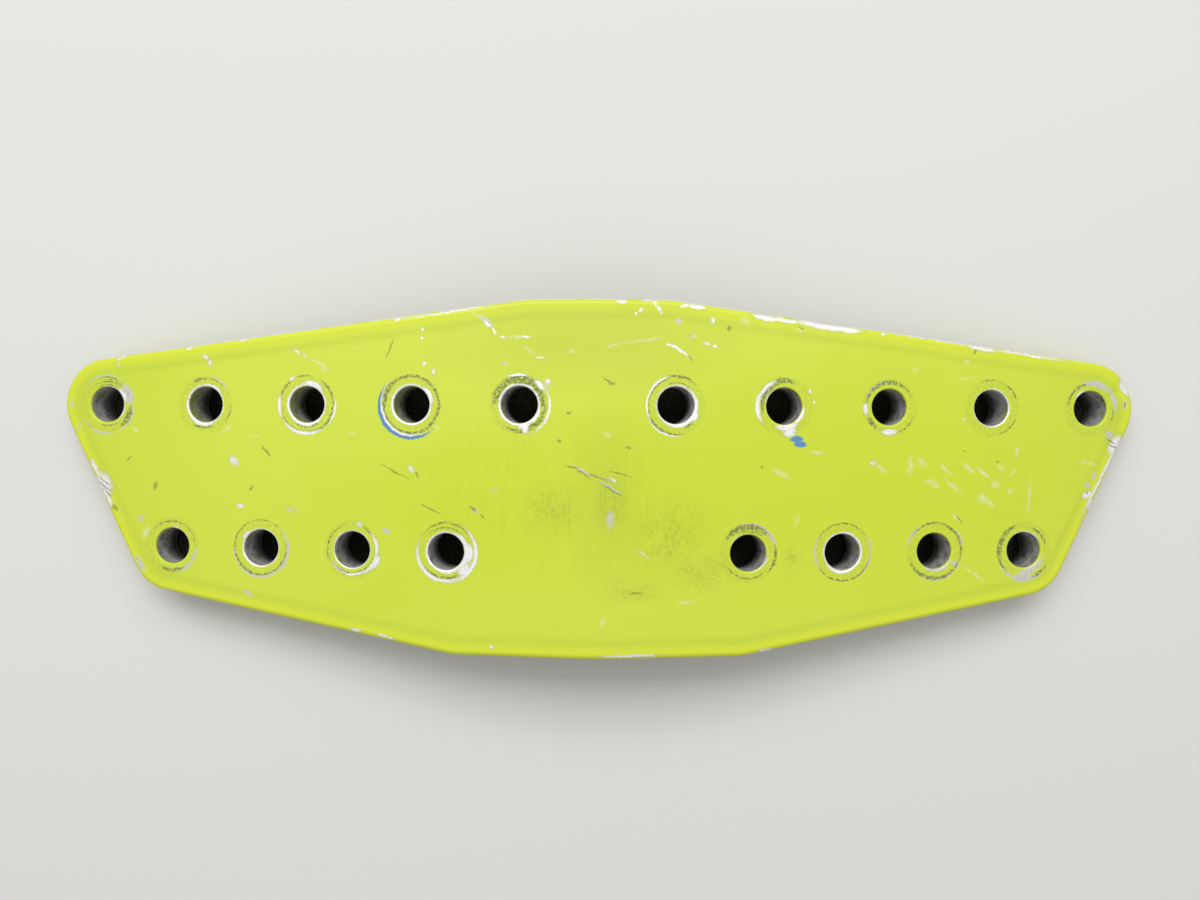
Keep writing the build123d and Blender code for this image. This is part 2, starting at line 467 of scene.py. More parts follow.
# %% Dent the rim
DENT_DEPTH = 0.45 * MM
DENT_GRAIN = 2.5  # mm from one lump of a dent to the next
LARGE_KNOCK = 1.8  # mm wide, and a knock dents the metal
large_knocks = [knock for knock in rim_knocks_and_highlights if knock[3] >= LARGE_KNOCK]
wing.normal_update()
dents = {}
for vertex in wing.verts:
    x, y, down = vertex[flat_place]
    if vertex[rim_distance] > 0 or down > THICKNESS / MM / 2:
        continue
    for knock_x, knock_y, length, width, turn in large_knocks:
        local = Matrix.Rotation(-radians(turn), 2) @ Vector((x - knock_x, y - knock_y))
        reach = hypot(local.x / (0.6 * length), local.y / (0.9 * width))
        lumps = 0.7 + 0.6 * noise.noise(vertex[flat_place] / DENT_GRAIN)
        deep = DENT_DEPTH * max(0, 1 - reach ** 2) * lumps
        dents[vertex] = max(deep, dents.get(vertex, 0))
for vertex, deep in dents.items():
    vertex.co -= vertex.normal * deep
print(f"{len(large_knocks)} dents, up to {max(dents.values()) / MM:.2f} mm deep")

# %% [markdown]
# ## What washers leave behind
# Every bolt sat on a washer, and each time it was tightened the washer scraped
# a ring. Those marks are arcs, so they are listed round their hole: the radius
# and width are in hole radii, and the two angles count anticlockwise from the
# right. Holes of the upper row are numbered 1 to 5 outwards and those of the
# lower row 21 to 24; the left wing counts down from 0 and 20 instead.

# %% Rings round the holes: hole, radius, width, from angle, to angle
ROUND = (-180, 180)
fresh_rings = [
    (-5, 1.17, 0.26, 6, 50), (-5, 1.07, 0.12, -50, 12), (-5, 1.04, 0.09, 45, 105),
    (-4, 1.06, 0.12, *ROUND), (-4, 1.11, 0.14, 25, 95), (-4, 1.13, 0.16, -140, -62),
    (-3, 1.07, 0.14, *ROUND), (-3, 1.18, 0.36, 38, 100), (-3, 1.13, 0.14, -138, -45),
    (-3, 1.6, 0.19, 160, 206), (-3, 1.61, 0.2, -146, -56), (-3, 1.66, 0.14, -42, 12),
    (-3, 1.66, 0.18, 113, 127), (-2, 1.07, 0.14, *ROUND), (-2, 1.15, 0.28, 2, 54),
    (-2, 1.68, 0.14, 158, 292), (-1, 1.07, 0.14, *ROUND), (-1, 1.14, 0.16, -62, -5),
    (-1, 1.32, 0.5, -84, -67), (-1, 1.67, 0.14, -62, 32), (-1, 1.54, 0.28, 28, 57),
    (-1, 1.61, 0.14, 72, 114), (-1, 1.2, 0.26, -92, -60), (1, 1.05, 0.12, *ROUND),
    (1, 1.13, 0.2, -118, 45), (1, 1.22, 0.26, -42, -18), (1, 1.6, 0.11, 148, 210),
    (1, 1.66, 0.09, -156, -78), (1, 1.58, 0.14, 103, 172), (2, 1.17, 0.3, -116, -48),
    (2, 1.42, 0.56, -93, -63), (2, 1.1, 0.16, -62, 0), (2, 1.05, 0.08, 115, 200),
    (2, 1.45, 0.2, 109, 162), (2, 1.52, 0.26, 145, 216), (2, 1.68, 0.12, 4, 11),
    (2, 1.65, 0.16, 26, 36), (3, 1.4, 0.28, 171, 198), (3, 1.39, 0.36, -109, -71),
    (4, 1.04, 0.08, *ROUND), (5, 1.08, 0.17, 112, 150), (16, 1.05, 0.1, 62, 88),
    (16, 1.05, 0.1, 28, 48), (17, 1.04, 0.09, *ROUND), (17, 1.12, 0.24, 127, 156),
    (18, 1.03, 0.08, *ROUND), (18, 1.44, 0.22, -66, -4), (18, 1.53, 0.38, -42, -11),
    (18, 1.43, 0.2, -16, 38), (18, 1.37, 0.16, -114, -56), (19, 1.06, 0.13, *ROUND),
    (19, 1.14, 0.2, -112, -50), (19, 1.18, 0.26, -62, 62), (19, 1.6, 0.22, 162, 303),
    (19, 1.69, 0.24, -80, 47), (19, 1.42, 0.6, -60, -26), (19, 1.34, 0.4, -26, 20),
    (21, 1.04, 0.08, 108, 152), (22, 1.06, 0.12, *ROUND), (22, 1.12, 0.18, -152, -64),
    (24, 1.04, 0.09, 28, 135),
]
old_rings = [
    (-5, 1.45, 0.5, 0, 48), (-5, 1.66, 0.14, -62, 2), (-5, 1.67, 0.1, -142, -60),
    (-5, 1.65, 0.09, 58, 135), (-4, 1.6, 0.1, 36, 76), (-2, 1.74, 0.1, 132, 168),
    (-1, 1.83, 0.14, 28, 42), (2, 1.3, 0.1, 120, 175), (3, 1.41, 0.12, 92, 162),
    (5, 1.51, 0.26, -4, 64), (5, 1.44, 0.3, 38, 107), (16, 1.48, 0.26, -68, -8),
    (17, 1.62, 0.2, -140, 28), (17, 1.62, 0.08, 180, 225), (18, 1.33, 0.14, -152, -92),
    (21, 1.55, 0.18, 16, 62), (21, 1.6, 0.1, 50, 112), (21, 1.06, 0.1, -70, 10),
    (22, 1.6, 0.13, 148, 216), (22, 1.61, 0.12, -48, 32), (23, 1.09, 0.16, -122, -44),
    (23, 1.62, 0.11, -116, -48), (23, 1.6, 0.16, 124, 170), (23, 1.42, 0.62, -37, -26),
    (23, 1.68, 0.14, 14, 44), (24, 1.66, 0.26, -142, -58), (24, 1.22, 0.34, -97, -28),
    (24, 1.45, 0.5, -104, -76),
]
dirty_rings = [
    (-5, 1.2, 0.09, -104, -60), (-5, 1.47, 0.3, -52, -8), (-5, 1.12, 0.07, 58, 110),
    (-5, 1.3, 0.06, 46, 112), (-5, 1.42, 0.05, 50, 96), (-5, 1.55, 0.06, 60, 102),
    (-4, 1.3, 0.1, -120, -74), (-4, 1.43, 0.14, 91, 116), (-4, 1.55, 0.08, -36, -4),
    (-4, 1.47, 0.06, 44, 96), (-3, 1.23, 0.11, -116, -58), (-3, 1.55, 0.12, -62, 22),
    (-3, 1.57, 0.12, 14, 52), (-3, 1.6, 0.08, 80, 113), (-3, 1.58, 0.09, 124, 160),
    (-3, 1.5, 0.05, 150, 300), (-2, 1.56, 0.14, *ROUND), (-2, 1.55, 0.26, 128, 186),
    (-1, 1.36, 0.5, 54, 127), (-1, 1.32, 0.38, 118, 178), (-1, 1.4, 0.24, -112, -8),
    (-1, 1.28, 0.3, -4, 58), (1, 1.3, 0.12, -68, -44), (1, 1.58, 0.08, -162, -80),
    (1, 1.5, 0.05, 175, 268), (1, 1.55, 0.13, 54, 107), (1, 1.47, 0.06, 105, 178),
    (1, 1.2, 0.05, 55, 108), (2, 1.4, 0.24, 70, 115), (2, 1.25, 0.24, 108, 188),
    (3, 1.35, 0.22, -156, -124), (3, 1.36, 0.2, 48, 166), (3, 1.48, 0.07, -73, -24),
    (3, 1.38, 0.05, 28, 62), (4, 1.55, 0.07, -73, -27), (4, 1.55, 0.1, 20, 62),
    (4, 1.55, 0.05, 68, 114), (5, 1.42, 0.12, 104, 168), (5, 1.4, 0.06, -34, 0),
    (16, 1.38, 0.16, -120, -66), (16, 1.42, 0.05, 2, 60), (16, 1.4, 0.09, 62, 132),
    (17, 1.53, 0.12, 180, 272), (17, 1.5, 0.09, -92, 2), (17, 1.55, 0.07, 118, 182),
    (17, 1.55, 0.05, 50, 105), (18, 1.28, 0.08, -128, -28), (18, 1.42, 0.12, 36, 62),
    (18, 1.4, 0.08, 120, 200), (19, 1.45, 0.14, -142, -60), (19, 1.58, 0.09, 40, 128),
    (19, 1.32, 0.06, 50, 128), (21, 1.44, 0.3, 48, 142), (21, 1.52, 0.14, -36, 14),
    (21, 1.38, 0.08, -146, -54), (21, 1.18, 0.1, 54, 112), (22, 1.58, 0.08, -144, -20),
    (22, 1.58, 0.07, 38, 147), (23, 1.52, 0.2, -152, -40), (23, 1.57, 0.13, -34, 130),
    (24, 1.57, 0.14, 164, 224), (24, 1.62, 0.14, -70, -36), (24, 1.45, 0.24, 116, 188),
    (24, 1.32, 0.13, 10, 67),
]
blue_rings = [(-2, 1.82, 0.22, 150, 308)]
blue_marks = [(52.1, 10.5, 3.5, 1.7, 4), (53.1, 9.2, 3.5, 1.7, -4)]
all_rings = fresh_rings + old_rings + dirty_rings + blue_rings
print(len(all_rings), "arcs round the holes")

# %% [markdown]
# ## The primer
# The plate wears a yellow-green corrosion primer over 2024 aluminium, sprayed in
# thin coats. To the eye it is a satin, slightly uneven film, richer where it
# pooled on the rounded rim. Noise alone can't make its wear, because the marks
# have to sit where washers and knocks put them. So the material starts from the
# place on the flat plate. Noise only shifts that place a little, and this tears
# the outlines of the marks that are laid on it.

# %% Start the primer with the place on the plate
TEAR_SIZE = 1.5  # mm across the largest tears of a mark's edge
KNOCK_TEAR = (1.5, 1.5, 0)  # mm that the edges of knocks and scratches may shift
RING_TEAR = (0.8, 0.8, 0)  # mm that the edges of washer rings may shift

primer, tree, primer_shader = new_material("yellow_green_primer_on_2024_aluminium")
place = add("Attribute", attribute_name="flat_place", output=1)
rim_in = add("Attribute", attribute_name="rim_distance", output=2)
along, up, depth = add("SeparateXYZ", place).node.outputs

tears = {"Scale": 1 / TEAR_SIZE, "Detail": 3, "Roughness": 0.65}
tears = add("TexNoise", place, at=tears, output=1)
tears = add("VectorMath", tears, (0.5, 0.5, 0.5), operation="SUBTRACT")
torn_place = add("VectorMath", tears, KNOCK_TEAR, place, operation="MULTIPLY_ADD")
torn_place = add("VectorMath", torn_place, (1, 1, 0), operation="MULTIPLY")
ring_place = add("VectorMath", tears, RING_TEAR, place, operation="MULTIPLY_ADD")
print(primer.name, "starts with", len(tree.nodes), "nodes")

# %% [markdown]
# ## Coordinates round the nearest bolt hole
# An arc is hard to describe along and up, but easy as an angle and a distance
# from its hole. One set of polar coordinates for each of the eighteen holes would
# be slow. The rows are even, though, so rounding the place to the nearest pitch
# finds the nearest hole, and one set is enough. The angle is stored with 4000
# degrees added for each hole's number, so that every hole has a stretch of its
# own and an arc turns into an ordinary ellipse there.

# %% Find the nearest hole
HOLE_STRIDE = 4000
LOWER_ROW_NUMBER = 20
ring_along, ring_up, _ = add("SeparateXYZ", ring_place).node.outputs
side = add("Math", ring_along, operation="SIGN")
out = add("Math", ring_along, operation="ABSOLUTE")
is_upper = add("Math", ring_up, 0.0, operation="GREATER_THAN")
row_start = add(
    "Math", is_upper, (UPPER_START - LOWER_START) / MM, LOWER_START / MM, operation="MULTIPLY_ADD",
)
row_pitch = add(
    "Math", is_upper, (UPPER_PITCH - LOWER_PITCH) / MM, LOWER_PITCH / MM, operation="MULTIPLY_ADD",
)
row_last = add("Math", is_upper, LOWER_COUNT - 1.0, operation="ADD")
pitches = add("Math", out, row_start, operation="SUBTRACT")
pitches = add("Math", pitches, row_pitch, operation="DIVIDE")
pitches = add("Math", pitches, operation="ROUND")
pitches = add("Math", pitches, row_last, operation="MINIMUM")
pitches = add("Math", pitches, 0.0, operation="MAXIMUM")
number = add("Math", pitches, 1.0, operation="ADD")
number = add("Math", number, side, operation="MULTIPLY")
row_number = add(
    "Math", is_upper, -LOWER_ROW_NUMBER, LOWER_ROW_NUMBER, operation="MULTIPLY_ADD",
)
number = add("Math", row_number, number, operation="ADD")
print("holes are numbered", -UPPER_COUNT, "to", LOWER_ROW_NUMBER + LOWER_COUNT)

# %% Turn the place into an angle and hole radii about it
hole_along = add("Math", pitches, row_pitch, row_start, operation="MULTIPLY_ADD")
hole_along = add("Math", hole_along, side, operation="MULTIPLY")
hole_up = add("Math", is_upper, 2 * ROW_UP / MM, -ROW_UP / MM, operation="MULTIPLY_ADD")
from_hole_x = add("Math", ring_along, hole_along, operation="SUBTRACT")
from_hole_y = add("Math", ring_up, hole_up, operation="SUBTRACT")
angle = add("Math", from_hole_y, from_hole_x, operation="ARCTAN2")
angle = add("Math", angle, operation="DEGREES")
angle = add("Math", number, HOLE_STRIDE, angle, operation="MULTIPLY_ADD")
from_hole = add("CombineXYZ", from_hole_x, from_hole_y, 0.0)
radii = add("VectorMath", from_hole, operation="LENGTH", output=1)
radii = add("Math", radii, HOLE_RADIUS / MM, operation="DIVIDE")
polar = add("CombineXYZ", angle, radii, 0.0)
print(len(tree.nodes), "nodes with the polar coordinates")

# %% [markdown]
# ## One field for each kind of mark
# The listed marks of a kind are joined into one field. A Mapping node turns each
# ellipse into a unit circle, a spherical gradient is 1 in its middle and 0 at its
# edge, and the highest value wins. The ellipses are grown by half first, so that
# the field also says how far away a mark is just outside it.

# %% Join the marks into fields
MARK_GROWTH = 1.5
FULL_RING = 800  # degrees to each side, so that a full ring doesn't taper


def nearness(points, marks, nearest=0.0):
    """How near `points` are to the middle of the nearest ellipse of `marks`, from 0 to 1."""
    for x, y, length, width, turn in marks:
        middle, turned = (x, y, 0), (0, 0, radians(turn))
        grown = (MARK_GROWTH * length / 2, MARK_GROWTH * width / 2, 1)
        local = add("Mapping", points, middle, turned, grown, vector_type="TEXTURE")
        blob = add("TexGradient", local, output=1, gradient_type="SPHERICAL")
        nearest = add("Math", blob, nearest, operation="MAXIMUM")
    return nearest


def as_marks(rings):
    """The arcs of `rings` as ellipses in polar coordinates.

    A full ring becomes a very long ellipse, and an arc that crosses 180 degrees is given twice.
    """
    marks = []
    for hole, radius, width, start, end in rings:
        if (start, end) == ROUND:
            start, end = -FULL_RING, FULL_RING
        crosses = 180 < end < FULL_RING
        for turn in (0, -360) if crosses else (0,):
            middle = HOLE_STRIDE * hole + (start + end) / 2 + turn
            marks.append((middle, radius, end - start, width, 0))
    return marks


fields = {
    "fresh": nearness(torn_place, rim_knocks_and_highlights, nearness(polar, as_marks(fresh_rings))),
    "nick": nearness(torn_place, fresh_marks),
    "old": nearness(torn_place, old_marks, nearness(polar, as_marks(old_rings))),
    "scuff": nearness(torn_place, faint_scuffs),
    "score": nearness(torn_place, dirty_scores),
    "dirt": nearness(polar, as_marks(dirty_rings)),
    "blue": nearness(place, blue_marks, nearness(polar, as_marks(blue_rings))),
}
print(len(tree.nodes), "nodes with the fields of", ", ".join(fields))

# %% [markdown]
# ## From fields to masks
# A mark is where its field is high. How softly it fades says what made it: a bare
# ring has a crisp edge, a scuff none. Fine noise makes the edges gritty, and
# coarser noise leaves islands of paint inside. All of it stops a little way down
# the rim, because the photograph shows wear on the front only. The pores of a
# real film are far finer than a millimetre and wouldn't show here, so the grit is
# drawn as coarse as it needs to show.

# %% Cut the masks out of the fields
WEAR_ENDS, WEAR_WHOLE = 3.2, 1.6  # mm below the front
GRIT_SIZE = 0.35  # mm, the pores of the film
MOTTLE_SIZE = 0.8  # mm, the islands of paint left in a bare mark
FADES = {
    # nearness at which a mark starts to show, and at which it is whole
    "fresh": (0.12, 0.68), "nick": (0.02, 0.78), "old": (0.03, 0.6), "scuff": (0.02, 0.8),
    "score": (0.1, 0.65), "dirt": (0.03, 0.44), "blue": (0.22, 0.46),
}
grit = add("TexNoise", place, at={"Scale": 1 / GRIT_SIZE, "Detail": 2, "Roughness": 0.7})
grit_gain = add("Math", grit, 1.6, 0.2, operation="MULTIPLY_ADD")
on_front = add("MapRange", depth, WEAR_ENDS, WEAR_WHOLE, 0.0, 1.0, **SMOOTH)
masks = {}
for name, (shows, whole) in FADES.items():
    gritty = add("Math", fields[name], grit_gain, operation="MULTIPLY")
    mask = add("MapRange", gritty, shows, whole, 0.0, 1.0, **SMOOTH)
    masks[name] = add("Math", mask, on_front, operation="MULTIPLY")
print("masks:", ", ".join(masks))

# %% Break the masks up
RUB_SIZE = 3.5  # mm, where an old mark was rubbed more and less
SCRAPE_TURN = radians(38)  # the way most of the scuffs run
SCRAPE_SIZE = (2.0, 0.5, 1.0)  # mm along and across the lines of a scuff
mottle = add("TexNoise", place, at={"Scale": 1 / MOTTLE_SIZE, "Detail": 3, "Roughness": 0.65})
islands = add("MapRange", mottle, 0.32, 0.46, 0.35, 1.0, **SMOOTH)
speckle = add("MapRange", mottle, 0.36, 0.6, 0.18, 0.95, **SMOOTH)
rubbed = add("TexNoise", place, at={"Scale": 1 / RUB_SIZE, "Detail": 2, "Roughness": 0.6})
rubbed = add("MapRange", rubbed, 0.36, 0.54, 0.3, 1.0)
scrape = add(
    "Mapping", place, (0, 0, 0), (0, 0, -SCRAPE_TURN), SCRAPE_SIZE, vector_type="TEXTURE",
)
scrape = add("TexNoise", scrape, at={"Scale": 1.0, "Detail": 3, "Roughness": 0.6})
scrape = add("MapRange", scrape, 0.38, 0.64, 0.08, 0.6)
for name, broken_by in (
    ("fresh", islands), ("nick", islands), ("nick", rubbed), ("old", islands),
    ("old", rubbed), ("scuff", scrape), ("dirt", speckle),
):
    masks[name] = add("Math", masks[name], broken_by, operation="MULTIPLY")
masks["fresh"] = add("Math", masks["fresh"], masks["nick"], operation="MAXIMUM")
print(len(tree.nodes), "nodes with the masks")

# %% [markdown]
# ## The rim, its painted highlight and the painted shade round the marks
# Handling wears a rounded rim through along its outermost line, more at the right
# end of this plate. It is worn through more at the top as well, and that part is
# also a painted highlight of the top rim, where light from above catches it. Where
# paint chipped, a thin olive line of painted shade stands in for the shadow of the
# broken edge of the film round the bare metal.

# %% Wear the rim, paint its top highlight and the shade round the marks
WEAR_LENGTH = 6  # mm from one worn stretch of the rim to the next
wear_and_highlight = add("TexNoise", place, at={"Scale": 1 / WEAR_LENGTH, "Detail": 5, "Roughness": 0.7})
# painted highlight: the rim wears through more towards the upper edge, which also draws the bright
# line of light along the top rim
wear_and_highlight = add("Math", wear_and_highlight, add("MapRange", up, -46.0, 40.0, -0.1, 0.1), operation="ADD")
wear_and_highlight = add("Math", wear_and_highlight, add("MapRange", along, 118.0, 146.0, 0.0, 0.12), operation="ADD")
wear_and_highlight = add("MapRange", wear_and_highlight, 0.5, 0.58, 0.0, 0.9, **SMOOTH)
for value, start, full in (
    # starts and is full: off the flat, down to the outermost line, and not below it
    (rim_in, 0.6, 0.1), (depth, 0.45, 0.8), (depth, 2.4, 1.5),
):
    wear_and_highlight = add("Math", wear_and_highlight, add("MapRange", value, start, full, 0.0, 1.0), operation="MULTIPLY")
masks["fresh"] = add("Math", masks["fresh"], wear_and_highlight, operation="MAXIMUM")

# painted shade: a thin olive line round the bare marks stands in for the shadow of the chipped
# film's edge
painted_edge_shade = add("Math", fields["fresh"], fields["nick"], operation="MAXIMUM")
painted_edge_shade = add("Math", painted_edge_shade, grit_gain, operation="MULTIPLY")
painted_edge_shade = add("MapRange", painted_edge_shade, 0.06, 0.24, 0.0, 0.22, **SMOOTH)
masks["painted_edge_shade"] = add("Math", painted_edge_shade, on_front, operation="MULTIPLY")
print(len(tree.nodes), "nodes with the rim wear")

# %% [markdown]
# ## The colour of the clean film and the painted light on it
# Sprayed primer is never quite one colour. Slow noise gives it clouds, noise
# stretched along the plate gives the faint brushing of the sheet below, and it
# grows richer towards the middle and duller towards the ends. It is also painted
# lighter towards the upper edge, a painted light that stands in for light falling
# from above. Washers have pressed a faint mottled print round every hole. The rim
# is a clearer yellow with a greener line inside it, where the film is thick and
# then thin. Each of these is a strength and a colour, laid one over the other.

# %% Lay the clean film in layers
CLOUD_SIZE = 45  # mm
BRUSHING = (0.02, 2.2, 0.4)  # lines per mm along, up and down
THIN_LINE_IN = 2.8  # mm in from the rim
PRINT_EDGES = ((1.08, 1.25), (1.68, 1.55))  # hole radii where a print starts and is full
clouds = add("TexNoise", place, at={"Scale": 1 / CLOUD_SIZE, "Detail": 2, "Roughness": 0.5})
clouds = add("MapRange", clouds, 0.35, 0.65, 0.0, 1.0)
# painted light: the film is drawn lighter towards the upper edge, as if lit from above
painted_top_light = add("MapRange", up, -46.0, 44.0, 0.3, 0.6)
far_out = add("Math", along, operation="ABSOLUTE")
far_out = add("MapRange", far_out, 95.0, 146.0, 0.0, 0.5)
washer_print = add("MapRange", mottle, 0.4, 0.64, 0.0, 0.42)
for start, full in PRINT_EDGES:
    pressed = add("MapRange", radii, start, full, 0.0, 1.0, **SMOOTH)
    washer_print = add("Math", washer_print, pressed, operation="MULTIPLY")
rich_stretches = [(12, -4, 80, 44, 0), (-26, -6, 70, 40, 0), (62, 0, 110, 60, 0)]
richer = nearness(place, rich_stretches)
richer = add("MapRange", richer, 0.0, 0.8, 0.0, 0.6, **SMOOTH)
brushing = add("VectorMath", place, BRUSHING, operation="MULTIPLY")
brushing = add("TexNoise", brushing, at={"Scale": 1.0, "Detail": 3, "Roughness": 0.6})
brushing = add("MapRange", brushing, 0.3, 0.7, 0.0, 0.2)
thin_line = add("Math", rim_in, THIN_LINE_IN, operation="SUBTRACT")
thin_line = add("Math", thin_line, operation="ABSOLUTE")
thin_line = add("MapRange", thin_line, 1.9, 0.0, 0.0, 0.32, **SMOOTH)
thick_rim = add("MapRange", rim_in, 2.0, 0.3, 0.0, 0.7, **SMOOTH)
colour = linear("#C7D92E")
for strength, paint in (
    (clouds, "#CDDB3A"), (painted_top_light, "#D8E74E"), (far_out, "#BED12C"), (richer, "#CADA1C"),
    (brushing, "#BFD02E"), (washer_print, "#A3AE3E"), (thin_line, "#B5C628"),
    (thick_rim, "#D7E226"),
):
    colour = add("Mix", strength, at={6: colour, 7: linear(paint)}, **COLOURS)
print(len(tree.nodes), "nodes with the clean film")

# %% [markdown]
# ## Soil and painted shade near the bend
# The photograph shows grime in the middle of the plate, where hands and tools met
# it: small dark specks in loose clouds, a haze, and thin runs down the film. A
# darker band down the bend itself is painted shade of the bend, laid like the
# haze. They are layers as well, each kept to its own stretch by a few wide ellipses.

# %% Soil the film and paint the shade of the bend
SPECK_SIZE = (0.8, 1.4, 2.0)  # mm, the specks were wiped up and down the plate
RUNS = (1.6, 0.06, 0.4)  # streaks per mm along, up and down
soil_clouds = [
    (4, -6, 9, 15, 0), (19, -15, 22, 20, 20), (27, -23, 20, 12, 0), (10, -28, 14, 7, 0),
    (51, -21, 5, 9, 0), (-12, -8, 16, 14, 0),
]
# the second ellipse is painted shade: a darker band down the middle of the bend
haze_and_bend_shade_clouds = [(-4, 36, 60, 22, 0), (2, -6, 16, 40, 0)]
run_stretch = [(-10, -4, 64, 34, 0)]
smudge = nearness(torn_place, soil_clouds)
smudge = add("MapRange", smudge, 0.05, 0.9, 0.0, 1.0, **SMOOTH)
specks = add("VectorMath", place, SPECK_SIZE, operation="DIVIDE")
specks = add("TexNoise", specks, at={"Scale": 1.0, "Detail": 5, "Roughness": 0.7})
specks = add("MapRange", specks, 0.47, 0.7, 0.1, 0.52)
smudge = add("Math", smudge, specks, operation="MULTIPLY")
smudge = add("Math", smudge, rubbed, operation="MULTIPLY")
haze_and_bend_shade = add("MapRange", nearness(place, haze_and_bend_shade_clouds), 0.0, 0.8, 0.0, 0.24)
runs = add("VectorMath", place, RUNS, operation="MULTIPLY")
runs = add("TexNoise", runs, at={"Scale": 1.0, "Detail": 3, "Roughness": 0.65})
runs = add("MapRange", runs, 0.52, 0.76, 0.0, 0.28)
runs_here = add("MapRange", nearness(place, run_stretch), 0.0, 0.7, 0.0, 1.0)
runs = add("Math", runs, runs_here, operation="MULTIPLY")
# the haze colour is haze over the upper middle and painted shade down the bend
for strength, paint in ((smudge, "#76822A"), (haze_and_bend_shade, "#A9B834"), (runs, "#94A02C")):
    colour = add("Mix", strength, at={6: colour, 7: linear(paint)}, **COLOURS)
print(len(tree.nodes), "nodes with the soil")

# %% [markdown]
# ## Marks over the film
# The masks are laid on from the faintest to the freshest, and the dirt in the
# scores goes over the bare metal that it runs through. Bare 2024 aluminium is
# white where it is fresh and a lilac grey where it has oxidised, and both are
# mottled. Only bare places are metallic, and a little of the diffuse look stays
# in them, because they are rough and still carry primer in their pores.

# %% Lay the marks on
greyness = add("MapRange", mottle, 0.54, 0.74, 0.0, 1.0, **SMOOTH)
fresh_metal, old_metal = (
    add("Mix", greyness, at={6: linear(light), 7: linear(dark)}, **COLOURS)
    for light, dark in (("#F6F4F7", "#B4AEBB"), ("#CFC9D6", "#94918E"))
)
for name, strength, paint in (
    ("scuff", 1.0, linear("#EAE8DC")), ("old", 0.88, old_metal),
    # the olive line round the bare marks is painted shade at the chipped film's edge
    ("dirt", 0.9, linear("#5F634A")), ("painted_edge_shade", 1.0, linear("#7A8030")),
    ("blue", 0.95, linear("#4C86BE")), ("fresh", 1.0, fresh_metal),
    ("score", 0.6, linear("#666B3E")),
):
    strength = add("Math", masks[name], strength, operation="MULTIPLY")
    colour = add("Mix", strength, at={6: colour, 7: paint}, **COLOURS)
tree.links.new(colour, primer_shader.inputs["Base Color"])
print(len(tree.nodes), "nodes with the marks")

# %% Give the film its sheen and its skin
SKIN_SIZE = 0.8  # mm, the fine orange peel of a sprayed film
FILM_ROUGHNESS, METAL_ROUGHNESS = 0.42, 0.5
OLD_METAL_BARE = 0.45  # share of an old mark that isn't covered by paint in its pores
METALLIC_LOOK = 0.75
bare = add("Math", masks["old"], OLD_METAL_BARE, operation="MULTIPLY")
bare = add("Math", bare, masks["fresh"], operation="MAXIMUM")
metallic = add("Math", bare, METALLIC_LOOK, operation="MULTIPLY")
roughness = add("MapRange", bare, 0.0, 1.0, FILM_ROUGHNESS, METAL_ROUGHNESS)
tree.links.new(metallic, primer_shader.inputs["Metallic"])
tree.links.new(roughness, primer_shader.inputs["Roughness"])
skin = add("TexNoise", place, at={"Scale": 1 / SKIN_SIZE, "Detail": 3, "Roughness": 0.6})
skin = add("Bump", at={"Strength": 0.12, "Distance": 0.1 * MM, "Height": skin})
tree.links.new(skin, primer_shader.inputs["Normal"])
print(primer.name, "has", len(tree.nodes), "nodes")

# %% [markdown]
# ## The walls of the holes
# A reamer leaves bare aluminium with fine rings round the hole. Bolts have pressed
# grease and dirt into it, and a breath of overspray hangs just inside the mouths,
# most of all in three holes of the left wing's upper row. The wall is also painted
# darker with depth, partly grease and partly painted shade of the deep hole. A
# smooth metal would be black in such a deep hole. A low metallic value lets the
# scratched, stained wall catch some light near its mouth, and the painted shade
# takes it dark below, as in the photograph.

# %% Bare wall of the holes
REAMER_LINES = (0.2, 0.2, 3.2)  # per mm along, up and down the hole
STAIN_SIZE = 2.2  # mm
SPRAY_SIZE = 5  # mm
sprayed_holes = [(-78, 19, 86, 24, 0)]  # an ellipse, as for the marks
wall_metal, tree, wall_shader = new_material("reamed_2024_aluminium")
wall_place = add("Attribute", attribute_name="flat_place", output=1)
wall_depth = add("SeparateXYZ", wall_place).node.outputs["Z"]
reamed = add("VectorMath", wall_place, REAMER_LINES, operation="MULTIPLY")
reamed = add("TexNoise", reamed, at={"Scale": 1.0, "Detail": 3, "Roughness": 0.65})
stains = add("TexNoise", wall_place, at={"Scale": 1 / STAIN_SIZE, "Detail": 4, "Roughness": 0.65})
spray = add("TexNoise", wall_place, at={"Scale": 1 / SPRAY_SIZE, "Detail": 3, "Roughness": 0.6})
sprayed = add("VectorMath", wall_place, (1, 1, 0), operation="MULTIPLY")
sprayed = nearness(sprayed, sprayed_holes)
sprayed = add("MapRange", sprayed, 0.2, 0.45, 0.0, 0.16)
spray = add("Math", spray, sprayed, operation="ADD")
spray = add("MapRange", spray, 0.52, 0.64, 0.0, 0.75)
spray_reach = add("MapRange", wall_depth, 6.5, 1.8, 0.0, 1.0)
spray = add("Math", spray, spray_reach, operation="MULTIPLY")
reamed = add("MapRange", reamed, 0.35, 0.65, 0.0, 1.0)
stains = add("MapRange", stains, 0.48, 0.64, 0.0, 0.7)
